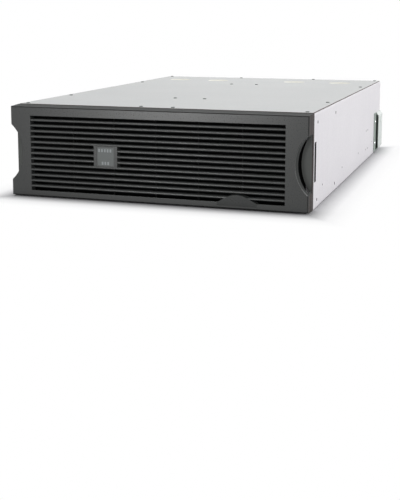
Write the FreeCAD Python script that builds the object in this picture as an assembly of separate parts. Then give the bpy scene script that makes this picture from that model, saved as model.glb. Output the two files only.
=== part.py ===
import FreeCAD, Part
import math
import os

from FreeCAD import Vector

# Rack battery pack, in millimetres. X runs across the rack, Y runs from the front to the rear and
# Z is up. The origin is on the floor under the middle of the pack.

# Driving dimensions of the case
overall_depth = 660.0
case_width = 432.0
case_height = 130.0
sheet = 1.2
bend = 2.0
bezel_depth = 28.0
grommet_lip = 3.0
rear_depth = overall_depth - grommet_lip
half_width = case_width / 2
cover_base = case_height - sheet
flange_edge = half_width - 16.0
return_edge = half_width - 19.0
rear_flange = 14.0
gap = 0.1

# Louvred front: the slots, the bars between them, the finger scoops and the moulded hump
slot_count = 14
slot_pitch = 7.82
slot_height = 4.5
first_slot_z = 113.6
louvre_half = 184.0
fin_back = 13.0
tie_rib = (12.4, 15.5)
tie_rib_width = 1.2
tie_rib_spots = (-123.0, -61.5, 0.0, 61.5, 123.0)
wall = 2.5
front_plane = 1.0
edge_round = 1.5
bezel_insets = ((0.0, 0.6), (1.2, 1.6), (2.4, 2.8))
groove_depth = 14.0
groove_width = 0.8
scoop_z = 63.5
scoop_half = 40.0
scoop_depth = 22.0
scoop_lip = 9.0
scoop_sagittas = (19.0, 11.8)
hump_x = 119.0
hump_foot = (27.2, 9.3)
hump_shoulder = (16.8, 15.4)
hump_crown = 20.2
window_x = (-87.0, -52.0)
window_z = (47.6, 77.2)
plate_margin = 4.6
clip_inset = 6.0
clip_z = (40.0, 90.0)

# Fasteners
screw_radius = 1.6
screw_head = 2.7
screw_head_height = 1.1
cover_rows = (36.0, 177.0, 482.0)
channel_screws = (-30.0, 17.0)
edge_screw = 205.0
rear_screws = (-206.0, -59.0, 87.0, 206.0)
rear_screw_depth = rear_depth - 7.0

# Rear panel
vent_radius = 3.35
vent_rows = 10
vent_columns = 9
vent_pitch = 12.8
vent_row_pitch = 6.54
vent_top_z = 104.4
vent_starts = (165.9, -76.7)
corner_notch = 3.5
outlet_x = -7.0
outlet_z = 87.0
outlet_size = (48.0, 23.4)
outlet_block = (46.4, 21.2)
outlet_flange = (71.0, 20.0)
outlet_rear = 608.0
port_half = 9.4
port_z = (78.4, 95.8)
port_depth = 24.0
tongue_half = 7.8
tongue_z = (79.8, 83.2)
contact_half = 5.5
contact_sheet = 2.4
clamp_spacing = 59.6
clamp_z = 88.5
clamp_bar_z = (83.6, 93.6)
clamp_tab_width = 11.5
clamp_tab_z = (82.0, 100.0)
clamp_scallop = 9.0
clamp_scallop_z = 97.2
nut_spacing = 62.0
nut_z = 67.2
nut_hole = 2.5
nut_barrel = 2.4
nut_lip = 3.2
nut_bore = 1.25
grommet_z = 113.8
grommet_hole = 7.0
grommet_radius = 8.7
grommet_barb = 7.8
red_x = 12.9
black_x = -26.1
cable = 9.0

# Rear brackets
bracket_front = 582.0
bracket_step = 606.0
bracket_top = 74.0
bracket_bottom = 2.0
bracket_reach = 5.4
bracket_sheet = 1.1
bracket_hole_z = (24.0, 54.4)
bracket_hole_depth = 632.0

# Rack-ear holes, ear slot and rail holes in the case sides
ear_hole = 2.2
ear_hole_depths = (52.0, 184.0)
ear_hole_z = (10.9, 115.5)
ear_slot_depth = (32.0, 43.0)
ear_slot_z = (37.0, 90.5)
rail_hole = 1.7
rail_hole_depths = (488.0, 507.0)
rail_hole_z = (19.8, 52.8)
pilot_hole = 1.5
pilot_depths = (89.5, 246.5, 403.5, 560.5)
pilot_z = 25.0

# Round dishes pressed into the top cover
dish_centres = (-161.0, -84.0, 66.0, 152.0)
dish_depth = 575.0
dish_radius = 20.0
dish_drop = 2.6

# Inside: two trays of battery blocks with a wiring channel between them
channel_x = (-24.0, 11.0)
channel_depth = (32.0, 560.0)
battery = (90.0, 70.0, 99.0)
battery_case_height = 86.0
lid_step = 0.8
battery_gap = 0.4
tray_sheet = 1.0
tray_front = 36.0
tray_centres = {"left": -119.4, "right": 112.9}
columns = 2
rows = 4
tab = (6.3, 0.8, 6.5)
tab_offset = (31.0, 24.0)
stop_depth = 326.0
connector_size = (40.0, 30.0, 26.0)
lead_pitch = 9.0
lead = 8.0
lead_low_z = 113.0
lead_high_z = 121.6
red_lead_x = 3.0
black_lead_x = -17.0

# Battery plug, lying on the floor behind the pack and turned from the pack's axis
plug_yaw = 30.0
plug_rear = Vector(30.0, 476.0, 0.0)
plug_length = 72.0
plug_grip = 45.0
plug_half = 25.0
plug_height = 22.6
plug_rail = 1.4
plug_rail_half = 6.2
plug_margin = 3.0
plug_scallops = 5
plug_scallop_depth = 1.3
mating_inset = 3.5
mating_overhang = 1.5
mating_chamfer = 3.0
pole_offset = 12.0
plug_port = (16.0, 21.0, 17.0)
plug_port_shift = -1.0
plug_tongue = (12.0, 3.5)
plug_tongue_drop = 3.0
plug_collar = 6.2
plug_holes = (14.0, 33.0)
plug_hole = 2.3
plug_nut = 4.6
plug_nut_depth = 1.6


def behind(distance):
    return distance - overall_depth / 2


def box(x, y, z):
    return Part.makeBox(x[1] - x[0], y[1] - y[0], z[1] - z[0], Vector(x[0], y[0], z[0]))


def centred(middle, size):
    return (middle - size / 2, middle + size / 2)


def rod(radius, start, end):
    axis = end - start
    return Part.makeCylinder(radius, axis.Length, start, axis)


def prism(points, direction):
    outline = Part.makePolygon(points + points[:1])
    return Part.Face(outline).extrude(direction)


def joined(shapes):
    return shapes[0].multiFuse(shapes[1:]).removeSplitter()


def mirrored(shape):
    return shape.mirror(Vector(0, 0, 0), Vector(1, 0, 0))


def edges_along(shape, axis):
    return [edge for edge in shape.Edges if abs(edge.tangentAt(edge.FirstParameter).dot(axis)) > 0.999]


def save(name, shape):
    if not shape.isValid():
        print("not valid:", name)
    shape.exportStep("parts/" + name + ".step")


# Case sheets

def side_holes():
    across = half_width + 1
    spots = []
    for depth in ear_hole_depths:
        for z in ear_hole_z:
            spots.append((ear_hole, depth, z))
    for depth in rail_hole_depths:
        for z in rail_hole_z:
            spots.append((rail_hole, depth, z))
    for depth in pilot_depths:
        spots.append((pilot_hole, depth, pilot_z))
    for depth, z in bracket_rivet_spots():
        spots.append((screw_radius, depth, z))
    tools = []
    for radius, depth, z in spots:
        tools.append(rod(radius, Vector(-across, behind(depth), z), Vector(across, behind(depth), z)))
    slot_y = (behind(ear_slot_depth[0]), behind(ear_slot_depth[1]))
    tools.append(box((-across, across), slot_y, ear_slot_z))
    return tools


def cover_screw_spots():
    spots = []
    for depth in cover_rows:
        for x in (-edge_screw,) + channel_screws + (edge_screw,):
            spots.append((x, behind(depth)))
    for x in rear_screws:
        spots.append((x, behind(rear_screw_depth)))
    return spots


def cover_screw_holes():
    low = cover_base - 8
    high = case_height + 1
    return [rod(screw_radius + gap, Vector(x, y, low), Vector(x, y, high)) for x, y in cover_screw_spots()]


def base_pan():
    along = Vector(0, 1, 0)
    depth = (behind(bezel_depth), behind(rear_depth))
    outer = box((-half_width, half_width), depth, (0, cover_base))
    outer = outer.makeFillet(bend, edges_along(outer, along))
    inside_x = half_width - sheet
    inner = box((-inside_x, inside_x), depth, (sheet, cover_base - sheet))
    inner = inner.makeFillet(bend - sheet, edges_along(inner, along))
    pan = outer.cut(inner)
    over_flanges = (cover_base - sheet - 1, case_height)
    pan = pan.cut(box((-flange_edge, flange_edge), depth, over_flanges))
    panel_room = (behind(rear_depth - rear_flange) - gap, depth[1])
    pan = pan.cut(box((-inside_x, inside_x), panel_room, (cover_base - bend * 2, case_height)))
    front = (depth[0], depth[0] + sheet)
    side_return = box((return_edge, inside_x), front, (sheet / 2, cover_base - sheet / 2))
    floor_return = box((-return_edge, return_edge), front, (sheet / 2, sheet + 9))
    pan = joined([pan, side_return, mirrored(side_return), floor_return])
    tools = side_holes() + cover_screw_holes()
    for x, z in door_screw_spots():
        tools.append(rod(screw_radius + gap, Vector(x, front[0] - 1, z), Vector(x, front[1] + 1, z)))
    for clip in bezel_clip_slots():
        tools.append(clip)
    return pan.cut(tools)


def top_cover():
    edge = half_width - 1.6
    y = (behind(bezel_depth) + 0.2, behind(rear_depth) - 0.4)
    cover = box((-edge, edge), y, (cover_base, case_height))
    for x in dish_centres:
        centre = Vector(x, behind(dish_depth), case_height - dish_drop - sheet)
        low = dish_radius - dish_drop
        pressed = Part.makeCone(low + sheet / 2, dish_radius + sheet, dish_drop, centre)
        cover = cover.fuse(pressed)
        floor = centre + Vector(0, 0, sheet)
        cover = cover.cut(Part.makeCone(low, dish_radius, dish_drop, floor))
    return cover.cut(cover_screw_holes())


def screw(head, shank):
    # Pan head on the outer face with its shank going inwards, along any axis
    axis = shank - head
    axis.normalize()
    top = head - axis * screw_head_height
    cap = Part.makeCone(screw_head * 0.8, screw_head, screw_head_height, top, axis)
    return cap.fuse(rod(screw_radius, head, shank)).removeSplitter()


def cover_screws():
    made = []
    for x, y in cover_screw_spots():
        made.append(screw(Vector(x, y, case_height), Vector(x, y, cover_base - 5)))
    return Part.makeCompound(made)


# Rear panel with its two perforated fields

def vent_holes():
    tools = []
    depth = behind(rear_depth)
    for start in vent_starts:
        for row in range(vent_rows):
            z = vent_top_z - row * vent_row_pitch
            shift = (row % 2) * vent_pitch / 2
            for column in range(vent_columns):
                x = start + shift - column * vent_pitch
                tools.append(rod(vent_radius, Vector(x, depth - 2 * sheet, z), Vector(x, depth + sheet, z)))
    return tools


def rear_panel():
    edge = half_width - sheet - gap
    y = (behind(rear_depth - rear_flange), behind(rear_depth))
    z = (sheet, cover_base)
    pan = box((-edge, edge), y, z)
    rim = [line for line in pan.Edges if line.BoundBox.YMin > y[1] - gap]
    pan = pan.makeFillet(bend, rim)
    hollow = box((-edge + sheet, edge - sheet), (y[0], y[1] - sheet), (z[0] + sheet, z[1] - sheet))
    rim = [line for line in hollow.Edges if line.BoundBox.YMin > y[1] - sheet - gap]
    pan = pan.cut(hollow.makeFillet(bend - sheet, rim))
    tools = []
    for x in ((-edge, -edge + corner_notch), (edge - corner_notch, edge)):
        for corner_z in ((z[0], z[0] + corner_notch), (z[1] - corner_notch, z[1])):
            tools.append(box(x, y, corner_z))
    through = (y[1] - 3, y[1] + 1)
    tools.append(box(centred(outlet_x, outlet_size[0]), through, centred(outlet_z, outlet_size[1])))
    round_holes = []
    for x in (red_x, black_x):
        round_holes.append((grommet_hole, x, grommet_z))
    for x in centred(outlet_x, clamp_spacing):
        round_holes.append((screw_radius + gap, x, clamp_z))
    for x in centred(outlet_x, nut_spacing):
        round_holes.append((nut_hole, x, nut_z))
    for radius, x, hole_z in round_holes:
        tools.append(rod(radius, Vector(x, through[0], hole_z), Vector(x, through[1], hole_z)))
    return pan.cut(tools + vent_holes() + cover_screw_holes())


# Front bezel: a tapered shell with louvre fins, two finger scoops, a window block and a moulded hump

def frame_wire(insets, depth):
    # Rectangle drawn in from the case's outline at the sides and at the top and bottom
    half = half_width - insets[0]
    low, high = insets[1], case_height - insets[1]
    y = behind(depth)
    corners = [Vector(-half, y, low), Vector(half, y, low), Vector(half, y, high), Vector(-half, y, high)]
    return Part.makePolygon(corners + corners[:1])


def scoop(grow):
    # Arc-sided hollow in the right end, deeper at the front than at its rear wall
    wires = []
    far = half_width + 4
    sections = ((-1.0, half_width - edge_round, scoop_sagittas[0]),
                (scoop_depth + grow, half_width, scoop_sagittas[1]))
    for depth, edge, sagitta in sections:
        y = behind(depth)
        half = scoop_half + grow
        top = Vector(edge, y, scoop_z + half)
        deep = Vector(edge - sagitta - grow, y, scoop_z)
        low = Vector(edge, y, scoop_z - half)
        far_low = Vector(far, y, low.z)
        far_top = Vector(far, y, top.z)
        arc = Part.Arc(top, deep, low).toShape()
        sides = [Part.LineSegment(low, far_low).toShape(), Part.LineSegment(far_low, far_top).toShape(),
                 Part.LineSegment(far_top, top).toShape()]
        wires.append(Part.Wire([arc] + sides))
    return Part.makeLoft(wires, True, True)


def scoop_walls(outer):
    # Curved lip behind the front face and a plate at the rear. The gap between them takes the fingertips.
    walls = scoop(wall).common(outer)
    finger_gap = box((0, half_width + 5), (behind(scoop_lip), behind(scoop_depth)), (0, case_height))
    return walls.cut(finger_gap)


def louvre_fins():
    fins = []
    nose = (slot_pitch - slot_height) / 2
    long = louvre_half + 1.5
    for number in range(slot_count - 1):
        z = first_slot_z - (number + 0.5) * slot_pitch
        front = behind(front_plane + 0.2)
        low = Vector(-long, front + nose, z - nose)
        tip = Vector(-long, front, z)
        high = Vector(-long, front + nose, z + nose)
        back_high = Vector(-long, behind(fin_back), z + nose * 0.7)
        back_low = Vector(-long, behind(fin_back), z - nose * 0.7)
        profile = Part.Wire([Part.Arc(low, tip, high).toShape(), Part.LineSegment(high, back_high).toShape(),
                             Part.LineSegment(back_high, back_low).toShape(),
                             Part.LineSegment(back_low, low).toShape()])
        fins.append(Part.Face(profile).extrude(Vector(2 * long, 0, 0)))
    return fins


def hump():
    # Low arch with flared feet. It is flush at its foot and stands a little proud at its crown.
    y = behind(-0.5)
    below = hump_foot[1] - 4
    left_low = Vector(hump_x - hump_foot[0], y, below)
    left_foot = Vector(hump_x - hump_foot[0], y, hump_foot[1])
    left_shoulder = Vector(hump_x - hump_shoulder[0], y, hump_shoulder[1])
    crown = Vector(hump_x, y, hump_crown)
    right_shoulder = Vector(hump_x + hump_shoulder[0], y, hump_shoulder[1])
    right_foot = Vector(hump_x + hump_foot[0], y, hump_foot[1])
    right_low = Vector(hump_x + hump_foot[0], y, below)
    outline = Part.Wire([
        Part.LineSegment(left_low, left_foot).toShape(),
        Part.LineSegment(left_foot, left_shoulder).toShape(),
        Part.Arc(left_shoulder, crown, right_shoulder).toShape(),
        Part.LineSegment(right_shoulder, right_foot).toShape(),
        Part.LineSegment(right_foot, right_low).toShape(),
        Part.LineSegment(right_low, left_low).toShape()])
    block = Part.Face(outline).extrude(Vector(0, fin_back, 0))
    start = hump_x - 2 * hump_foot[0]
    slope = [Vector(start, behind(-3), below - 1), Vector(start, behind(front_plane), below - 1),
             Vector(start, behind(0), hump_crown), Vector(start, behind(0), hump_crown + 5),
             Vector(start, behind(-3), hump_crown + 5)]
    return block.cut(prism(slope, Vector(4 * hump_foot[0], 0, 0)))


def bezel_clip_spots():
    return [(side * (half_width - clip_inset), z) for side in (-1, 1) for z in clip_z]


def bezel_clips():
    made = []
    y = (behind(scoop_depth), behind(bezel_depth + 4.6))
    for x, z in bezel_clip_spots():
        inward = -math.copysign(1.0, x)
        stem = box((x - 1.1, x + 1.1), y, (z - 4, z + 4))
        behind_return = y[1] - 3.2
        face = x + inward * 1.1
        barb = [Vector(face, behind_return, z - 4), Vector(face + inward * 1.3, behind_return, z - 4),
                Vector(face, y[1], z - 4)]
        made.append(stem.fuse(prism(barb, Vector(0, 0, 8))))
    return made


def bezel_clip_slots():
    y = (behind(bezel_depth) - 1, behind(bezel_depth) + sheet + 1)
    return [box((x - 2.6, x + 2.6), y, (z - 4.6, z + 4.6)) for x, z in bezel_clip_spots()]


def front_bezel():
    rear, edge, front = bezel_insets
    outer = Part.makeLoft([frame_wire(rear, bezel_depth), frame_wire(edge, front_plane + edge_round),
                           frame_wire(front, front_plane)], True, True)
    rear_inside = (rear[0] + wall, rear[1] + wall)
    front_inside = (edge[0] + wall, edge[1] + wall)
    hollow = Part.makeLoft([frame_wire(rear_inside, bezel_depth),
                            frame_wire(front_inside, front_plane + wall + 0.5)], True, True)
    top = first_slot_z + slot_height / 2
    bottom = first_slot_z - (slot_count - 1) * slot_pitch - slot_height / 2
    mouth = box((-louvre_half, louvre_half), (behind(-1), behind(front_plane + 4)), (bottom, top))
    shell = outer.cut(hollow).cut(mouth)
    right_walls = scoop_walls(outer)
    ribs = []
    fin_room = (behind(front_plane + 1), behind(fin_back))
    for side in (-1, 1):
        x = side * (louvre_half + 1)
        ribs.append(box((x - 1, x + 1), fin_room, (bottom - 2, top + 2)))
    for x in tie_rib_spots:
        rib_y = (behind(tie_rib[0]), behind(tie_rib[1]))
        ribs.append(box(centred(x, tie_rib_width), rib_y, (bottom - 2, top + 2)))
    ribs.append(box(window_x, (behind(front_plane), behind(fin_back)), window_z))
    walls = [shell, right_walls, mirrored(right_walls)]
    body = joined(walls + louvre_fins() + ribs + [hump()] + bezel_clips())
    groove_y = (behind(groove_depth - groove_width / 2), behind(groove_depth + groove_width / 2))
    groove = box((-half_width - 1, half_width + 1), groove_y, (-1, case_height + 1))
    core_x = half_width - 1.2
    groove = groove.cut(box((-core_x, core_x), groove_y, (1.8, case_height - 1.8)))
    cut_scoop = scoop(0)
    recess_x = (window_x[0] + plate_margin, window_x[1] - plate_margin)
    recess_z = (window_z[0] + 1.6, window_z[1] - 1.2)
    recess = box(recess_x, (behind(0), behind(front_plane + 1.2)), recess_z)
    return body.cut([groove, cut_scoop, mirrored(cut_scoop), recess])


def bezel_window_plate():
    x = (window_x[0] + plate_margin + gap, window_x[1] - plate_margin - gap)
    z = (window_z[0] + 1.6 + gap, window_z[1] - 1.2 - gap)
    plate = box(x, (behind(front_plane + 0.4), behind(front_plane + 1.2)), z)
    return plate.makeFillet(1.0, edges_along(plate, Vector(0, 1, 0)))


# Battery door behind the bezel

def door_screw_spots():
    return [(side * (return_edge + 4.5), z) for side in (-1, 1) for z in (14.0, 65.0, 116.0)]


def battery_door():
    y = (behind(bezel_depth) - sheet, behind(bezel_depth))
    edge = return_edge + 9.0
    door = box((-edge, edge), y, (4.0, 126.0))
    door = door.makeFillet(3.0, edges_along(door, Vector(0, 1, 0)))
    holes = []
    for x, z in door_screw_spots():
        holes.append(rod(screw_radius + gap, Vector(x, y[0] - 1, z), Vector(x, y[1] + 1, z)))
    return door.cut(holes)


def door_screws():
    head = behind(bezel_depth) - sheet
    made = [screw(Vector(x, head, z), Vector(x, head + 7, z)) for x, z in door_screw_spots()]
    return Part.makeCompound(made)


# Inner metalwork

def wiring_channel():
    y = (behind(channel_depth[0]), behind(channel_depth[1]))
    left, right = channel_x
    floor = box((left, right), y, (sheet, 2 * sheet))
    left_wall = box((left, left + sheet), y, (sheet, cover_base))
    right_wall = box((right - sheet, right), y, (sheet, cover_base))
    top = (cover_base - sheet, cover_base)
    left_flange = box((left - 15, left), y, top)
    right_flange = box((right, right + 15), y, top)
    channel = joined([floor, left_wall, right_wall, left_flange, right_flange])
    lead_window = box((left - 1, right + 1), (behind(120.0), behind(200.0)), (96.0, 126.0))
    return channel.cut([lead_window] + cover_screw_holes())


def stop_bar(side):
    # Flanged bar across the bay behind the battery blocks, with a tab at each end
    walls = {"left": (-half_width + sheet, channel_x[0]), "right": (channel_x[1], half_width - sheet)}
    x = (walls[side][0] + gap, walls[side][1] - gap)
    y = behind(stop_depth)
    web = box(x, (y, y + sheet), (62.0, 84.0))
    lip = box(x, (y, y + 11), (84.0 - sheet, 84.0))
    near_tab = box((x[0], x[0] + sheet), (y, y + 18), (62.0, 84.0))
    far_tab = box((x[1] - sheet, x[1]), (y, y + 18), (62.0, 84.0))
    return joined([web, lip, near_tab, far_tab])


def tray_span(side):
    centre = tray_centres[side]
    width = columns * (battery[0] + battery_gap) + battery_gap + 2 * tray_sheet
    length = rows * (battery[1] + battery_gap) + battery_gap + 2 * tray_sheet
    return (centre - width / 2, centre + width / 2), (behind(tray_front), behind(tray_front) + length)


def battery_tray(side):
    x, y = tray_span(side)
    floor = sheet
    tray = box(x, y, (floor, floor + 58))
    inside_x = (x[0] + tray_sheet, x[1] - tray_sheet)
    inside_y = (y[0] + tray_sheet, y[1] - tray_sheet)
    tray = tray.cut(box(inside_x, inside_y, (floor + tray_sheet, floor + 60)))
    low_walls = box((x[0] - 1, x[1] + 1), (y[0] + tray_sheet, y[1] + 1), (floor + 25, floor + 60))
    centre = tray_centres[side]
    hand_slot = box((centre - 35, centre + 35), (y[0] - 1, y[0] + tray_sheet), (floor + 32, floor + 50))
    hand_slot = hand_slot.makeFillet(8.0, edges_along(hand_slot, Vector(0, 1, 0)))
    return tray.cut([low_walls, hand_slot])


def battery_centre(side, column, row):
    x, y = tray_span(side)
    step_x = battery[0] + battery_gap
    step_y = battery[1] + battery_gap
    first_x = x[0] + tray_sheet + battery_gap + battery[0] / 2
    first_y = y[0] + tray_sheet + battery_gap + battery[1] / 2
    return Vector(first_x + column * step_x, first_y + row * step_y, sheet + tray_sheet)


def battery_block(side, column, row):
    # Every second block in a string is turned round, so that its terminals meet the next block's
    spot = battery_centre(side, column, row)
    half_x, half_y = battery[0] / 2, battery[1] / 2
    case = box((-half_x, half_x), (-half_y, half_y), (0, battery_case_height))
    lid_x, lid_y = half_x - lid_step, half_y - lid_step
    lid = box((-lid_x, lid_x), (-lid_y, lid_y), (battery_case_height, battery[2]))
    tab_y = (tab_offset[1] - tab[1] / 2, tab_offset[1] + tab[1] / 2)
    tab_z = (battery[2], battery[2] + tab[2])
    tabs = []
    for x in (-tab_offset[0], tab_offset[0]):
        tabs.append(box((x - tab[0] / 2, x + tab[0] / 2), tab_y, tab_z))
    block = joined([case, lid] + tabs)
    if row % 2:
        block.rotate(Vector(0, 0, 0), Vector(0, 0, 1), 180)
    return block.translated(spot)


def battery_links(side):
    # Straps from one block's terminal to the next in each string of four
    made = []
    for column in range(columns):
        for row in range(rows - 1):
            here = battery_centre(side, column, row)
            there = battery_centre(side, column, row + 1)
            if row % 2:
                first_y, last_y, x = here.y - tab_offset[1], there.y + tab_offset[1], here.x - tab_offset[0]
            else:
                first_y, last_y, x = here.y + tab_offset[1], there.y - tab_offset[1], here.x + tab_offset[0]
            z = here.z + battery[2] + tab[2]
            strap = box((x - tab[0] / 2, x + tab[0] / 2), (first_y - 3, last_y + 3), (z, z + 1.0))
            made.append(strap)
    return Part.makeCompound(made)


def inner_column(side):
    return columns - 1 if side == "left" else 0


def connector_spot(side):
    centre = battery_centre(side, inner_column(side), 0)
    return Vector(centre.x, behind(tray_front) + 6, centre.z + battery[2])


def tray_connector(side):
    spot = connector_spot(side)
    width, length, height = connector_size
    x = (spot.x - width / 2, spot.x + width / 2)
    body = box(x, (spot.y, spot.y + length), (spot.z, spot.z + height))
    return body.makeFillet(2.0, edges_along(body, Vector(0, 1, 0)))


def harness_connector(side):
    shape = tray_connector(side)
    return shape.translated(Vector(0, connector_size[1], 0))


def lead_run(points, radius):
    # Six-sided lead of straight runs, mitred where it turns
    path = Part.makePolygon(points)
    along = points[1] - points[0]
    across = along.cross(Vector(0, 0, 1))
    if across.Length < 0.001:
        across = Vector(1, 0, 0)
    across.normalize()
    lift = along.cross(across)
    lift.normalize()
    ring = []
    for side in range(6):
        angle = math.pi * side / 3
        ring.append(points[0] + across * (radius * math.cos(angle)) + lift * (radius * math.sin(angle)))
    section = Part.makePolygon(ring + ring[:1])
    return path.makePipeShell([section], True, False, 1)


def harness(outlet, lead_x, z, cross_y, pole):
    # One pole's wiring: from the rear grommet along the channel to both tray connectors and the outlet
    radius = lead / 2
    trunk = lead_run([Vector(outlet, behind(overall_depth), grommet_z),
                      Vector(outlet, behind(626), grommet_z),
                      Vector(lead_x, behind(592), z), Vector(lead_x, cross_y, z)], radius)
    ends = {side: connector_spot(side).x + pole * lead_pitch for side in ("left", "right")}
    cross_left = Vector(ends["left"] - radius, cross_y, z)
    cross_right = Vector(ends["right"] + radius, cross_y, z)
    cross = lead_run([cross_left, cross_right], radius)
    pieces = [trunk, cross]
    socket_y = connector_spot("left").y + 2 * connector_size[1]
    for side in ("left", "right"):
        pieces.append(lead_run([Vector(ends[side], cross_y, z), Vector(ends[side], socket_y, z)], radius))
    riser_y = behind(570) if pole > 0 else behind(550)
    pieces.append(lead_run([Vector(lead_x, behind(608), outlet_z), Vector(lead_x, riser_y, outlet_z),
                        Vector(lead_x, riser_y, z)], radius * 0.8))
    return joined(pieces)


# Outlet on the rear panel

def rear_receptacle():
    face = behind(rear_depth) - sheet
    flange_z = centred(outlet_z + 1, outlet_flange[1])
    flange = box(centred(outlet_x, outlet_flange[0]), (face - 3, face), flange_z)
    block = box(centred(outlet_x, outlet_block[0]), (behind(outlet_rear), face + 0.6),
                centred(outlet_z, outlet_block[1]))
    block = block.makeFillet(1.5, edges_along(block, Vector(0, 1, 0)))
    body = joined([flange, block])
    tools = []
    tongues = []
    for x in (red_lead_x, black_lead_x):
        tools.append(box((x - port_half, x + port_half), (face - port_depth, face + 2), port_z))
        tongue_y = (face - port_depth - 2, face - 0.6)
        tongues.append(box((x - tongue_half, x + tongue_half), tongue_y, tongue_z))
    for x in centred(outlet_x, clamp_spacing):
        tools.append(rod(screw_radius + gap, Vector(x, face - 5, clamp_z), Vector(x, face + 1, clamp_z)))
    return joined([body.cut(tools)] + tongues)


def receptacle_contacts():
    face = behind(rear_depth) - sheet
    made = []
    for x in (red_lead_x, black_lead_x):
        made.append(box((x - contact_half, x + contact_half), (face - port_depth, face - 4),
                        (tongue_z[1], tongue_z[1] + contact_sheet)))
    return Part.makeCompound(made)


def receptacle_clamp():
    # Retaining plate with two scallops in its upper edge and a screw tab at each end
    y = (behind(rear_depth), behind(rear_depth) + sheet)
    x = centred(outlet_x, outlet_size[0])
    plate = joined([box(x, y, clamp_bar_z), box((x[0] - clamp_tab_width, x[0]), y, clamp_tab_z),
                    box((x[1], x[1] + clamp_tab_width), y, clamp_tab_z)])
    tools = []
    for middle in (red_lead_x + 2, black_lead_x - 2):
        tools.append(rod(clamp_scallop, Vector(middle, y[0] - 1, clamp_scallop_z),
                         Vector(middle, y[1] + 1, clamp_scallop_z)))
    for middle in centred(outlet_x, clamp_spacing):
        tools.append(rod(screw_radius + gap, Vector(middle, y[0] - 1, clamp_z),
                         Vector(middle, y[1] + 1, clamp_z)))
    return plate.cut(tools)


def clamp_screws():
    head = behind(rear_depth) + sheet
    made = []
    for x in centred(outlet_x, clamp_spacing):
        made.append(screw(Vector(x, head, clamp_z), Vector(x, head - 9, clamp_z)))
    return Part.makeCompound(made)


def clinch_nuts():
    face = behind(rear_depth)
    made = []
    for x in centred(outlet_x, nut_spacing):
        lip = rod(nut_lip, Vector(x, face, nut_z), Vector(x, face + 0.6, nut_z))
        barrel = rod(nut_barrel, Vector(x, face - 6, nut_z), Vector(x, face, nut_z))
        bore = rod(nut_bore, Vector(x, face - 7, nut_z), Vector(x, face + 1, nut_z))
        made.append(joined([lip, barrel]).cut(bore))
    return Part.makeCompound(made)


def grommet(x):
    # Snap-in bush: rounded lip outside, neck in the panel and a barbed collar inside
    outside = behind(overall_depth)
    face = behind(rear_depth)
    bore = cable / 2 + gap
    inside = face - sheet
    neck = grommet_hole - gap
    outline = [Vector(bore, outside, 0), Vector(grommet_radius - 1.7, outside, 0),
               Vector(grommet_radius - 0.6, outside - 0.5, 0), Vector(grommet_radius, outside - 1.6, 0),
               Vector(grommet_radius, face, 0), Vector(neck, face, 0), Vector(neck, inside, 0),
               Vector(grommet_barb, inside, 0), Vector(grommet_hole - 0.8, inside - 5, 0),
               Vector(bore, inside - 5, 0)]
    half = Part.Face(Part.makePolygon(outline + outline[:1]))
    return half.revolve(Vector(0, 0, 0), Vector(0, 1, 0), 360).translated(Vector(x, 0, grommet_z))


# Rear brackets on the case sides

def bracket_rivet_spots():
    return [(bracket_front + 12.0, 18.0), (bracket_front + 12.0, 58.0)]


def rear_bracket():
    # Flat strip on the case side, then a plate that stands off it on two sloping webs
    side = half_width
    out = half_width + bracket_reach
    t = bracket_sheet
    low, high = bracket_bottom, bracket_top
    section = [Vector(side, 0, high), Vector(side + t, 0, high),
               Vector(out, 0, high - 6), Vector(out, 0, low + 6),
               Vector(side + t, 0, low), Vector(side, 0, low), Vector(side, 0, low + t),
               Vector(out - t, 0, low + 6.4), Vector(out - t, 0, high - 6.4), Vector(side, 0, high - t)]
    hat = prism(section, Vector(0, rear_depth - bracket_step, 0))
    hat = hat.translated(Vector(0, behind(bracket_step), 0))
    strip = box((side, side + t), (behind(bracket_front), behind(bracket_step + 2)), (low, high))
    bracket = joined([hat, strip])
    tools = []
    for z in bracket_hole_z:
        y = behind(bracket_hole_depth)
        tools.append(rod(ear_hole, Vector(out - 3, y, z), Vector(out + 1, y, z)))
    for depth, z in bracket_rivet_spots():
        y = behind(depth)
        tools.append(rod(screw_radius, Vector(side - 1, y, z), Vector(side + t + 1, y, z)))
    return bracket.cut(tools)


def bracket_rivets():
    made = []
    for depth, z in bracket_rivet_spots():
        y = behind(depth)
        outer = half_width + bracket_sheet
        inner = half_width - sheet
        shank = rod(screw_radius - gap / 2, Vector(inner - 1.5, y, z), Vector(outer, y, z))
        head = Part.makeCone(3.0, 2.0, 0.9, Vector(outer, y, z), Vector(1, 0, 0))
        rivet = shank.fuse(head).removeSplitter()
        made += [rivet, mirrored(rivet)]
    return Part.makeCompound(made)


# Plug, modelled with its axis along Y and its cable end at the origin, then laid on the floor

def laid(shape):
    shape = shape.copy()
    shape.rotate(Vector(0, 0, 0), Vector(0, 0, 1), -plug_yaw)
    return shape.translated(plug_rear)


def grip_side(side):
    # Row of finger scallops along one long side of the grip, from the cable end to the front
    step = (plug_grip - 2 * plug_margin) / plug_scallops
    x = side * plug_half
    ridges = [Vector(x, plug_margin + number * step, 0) for number in range(plug_scallops + 1)]
    edges = [Part.LineSegment(Vector(x, 0, 0), ridges[0]).toShape()]
    for near, far in zip(ridges, ridges[1:]):
        hollow = (near + far) * 0.5 - Vector(side * plug_scallop_depth, 0, 0)
        edges.append(Part.Arc(near, hollow, far).toShape())
    edges.append(Part.LineSegment(ridges[-1], Vector(x, plug_grip, 0)).toShape())
    return edges


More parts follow.
